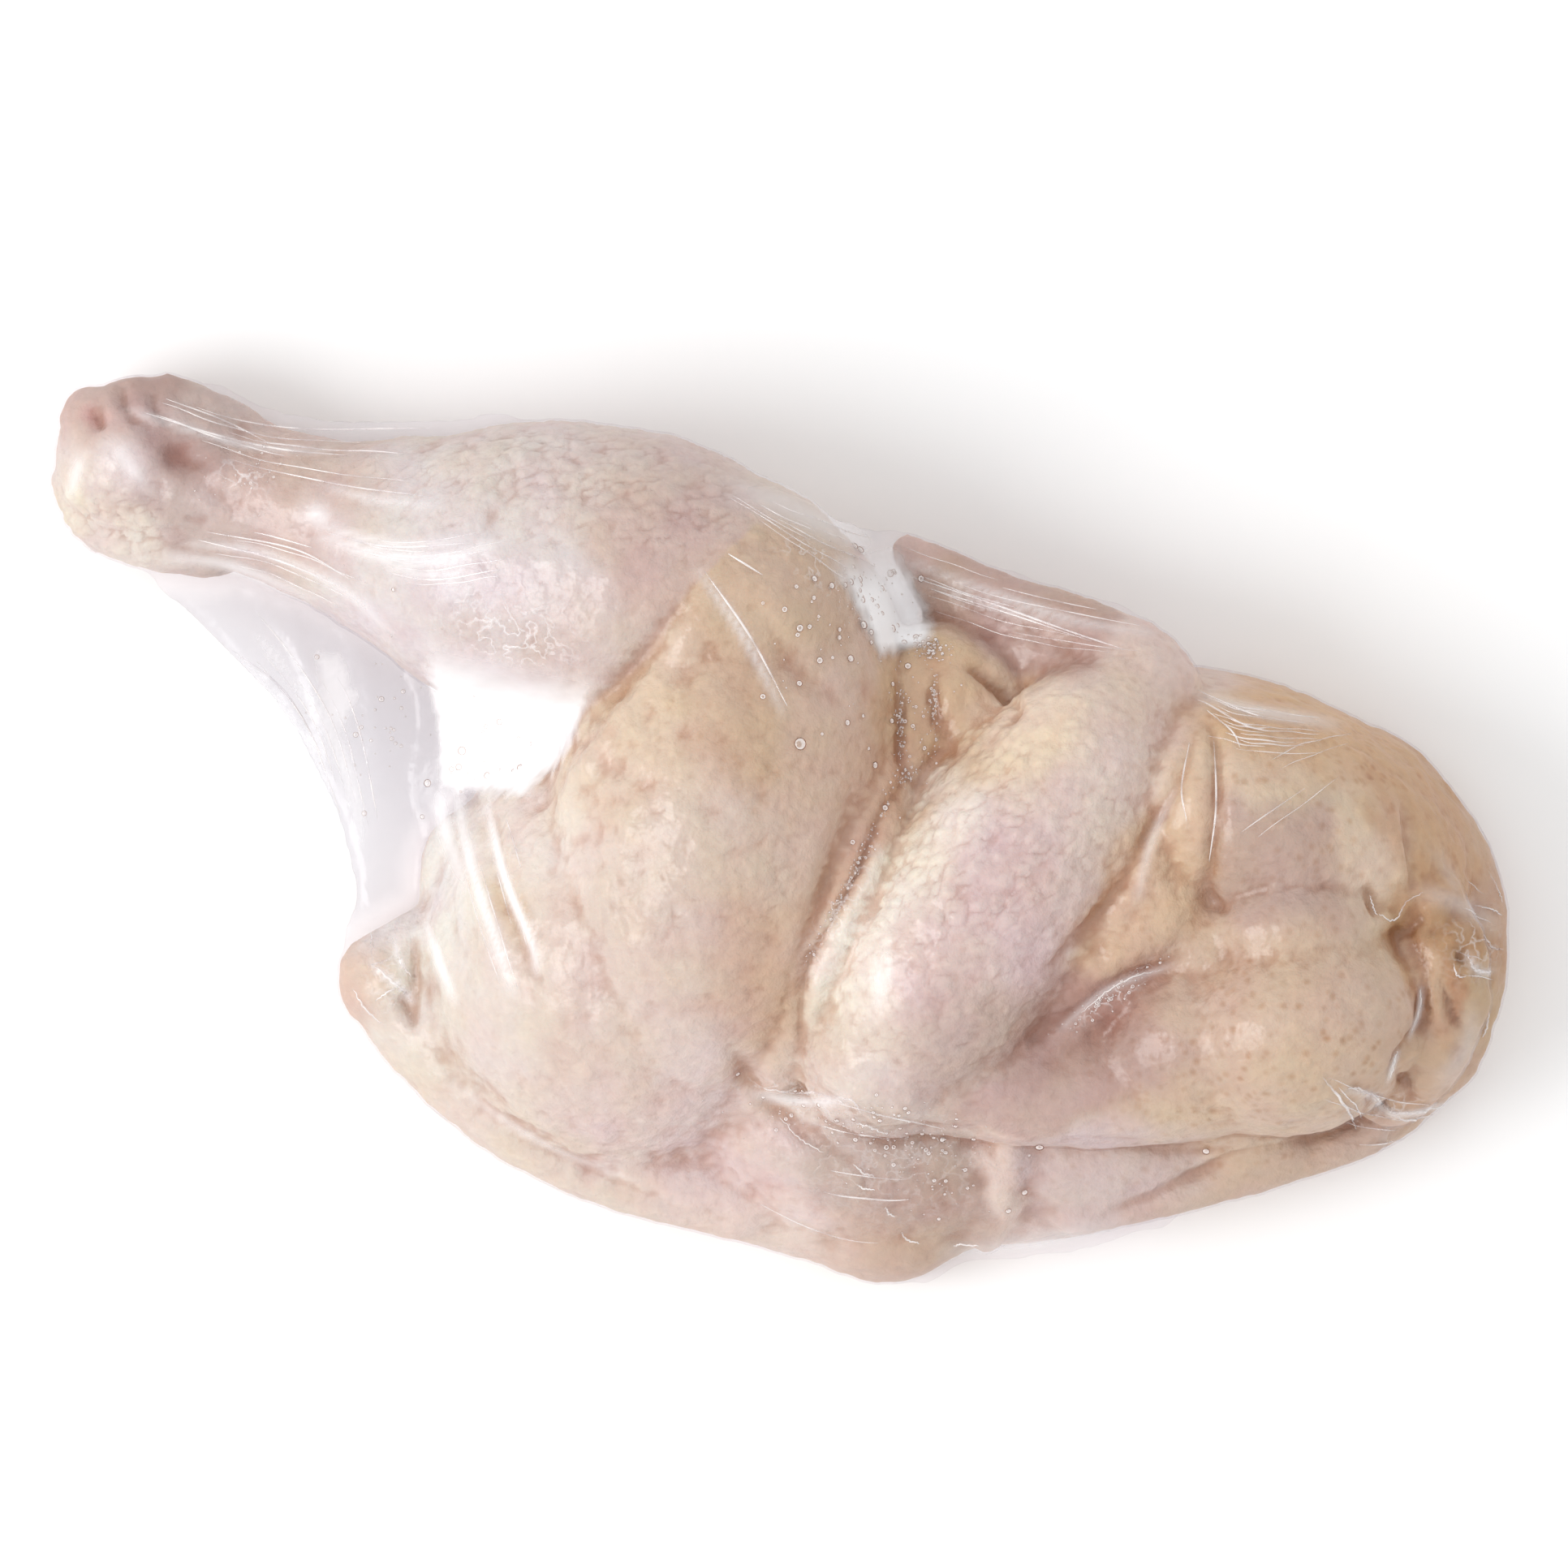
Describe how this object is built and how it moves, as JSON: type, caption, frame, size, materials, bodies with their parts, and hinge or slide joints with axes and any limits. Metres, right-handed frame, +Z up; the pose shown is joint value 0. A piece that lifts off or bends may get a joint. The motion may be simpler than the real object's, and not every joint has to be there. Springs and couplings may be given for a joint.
{
  "type": "split cornish hen",
  "caption": "Raw half hen sealed in clear shrink film, skin side up, with its leg stretched out, its wing folded and the film drawn taut across the hollows.",
  "frame": {"origin": "middle of the pack's box, on the face that it rests on", "axes": "+X from the hock at the leg's end towards the neck, +Y towards the breast's edge, +Z up from the resting face"},
  "size_m": [0.1809, 0.1137, 0.0476],
  "materials": {
    "hen_skin": "pale raw hen skin, cream to mauve, moist under clear film",
    "shrink_film": "clear shrink film, very glossy, taut with fine creases and small bubbles of juice"
  },
  "bodies": {
    "root": {"wrapped_half_hen": "hen_skin"}
  },
  "joints": []
}
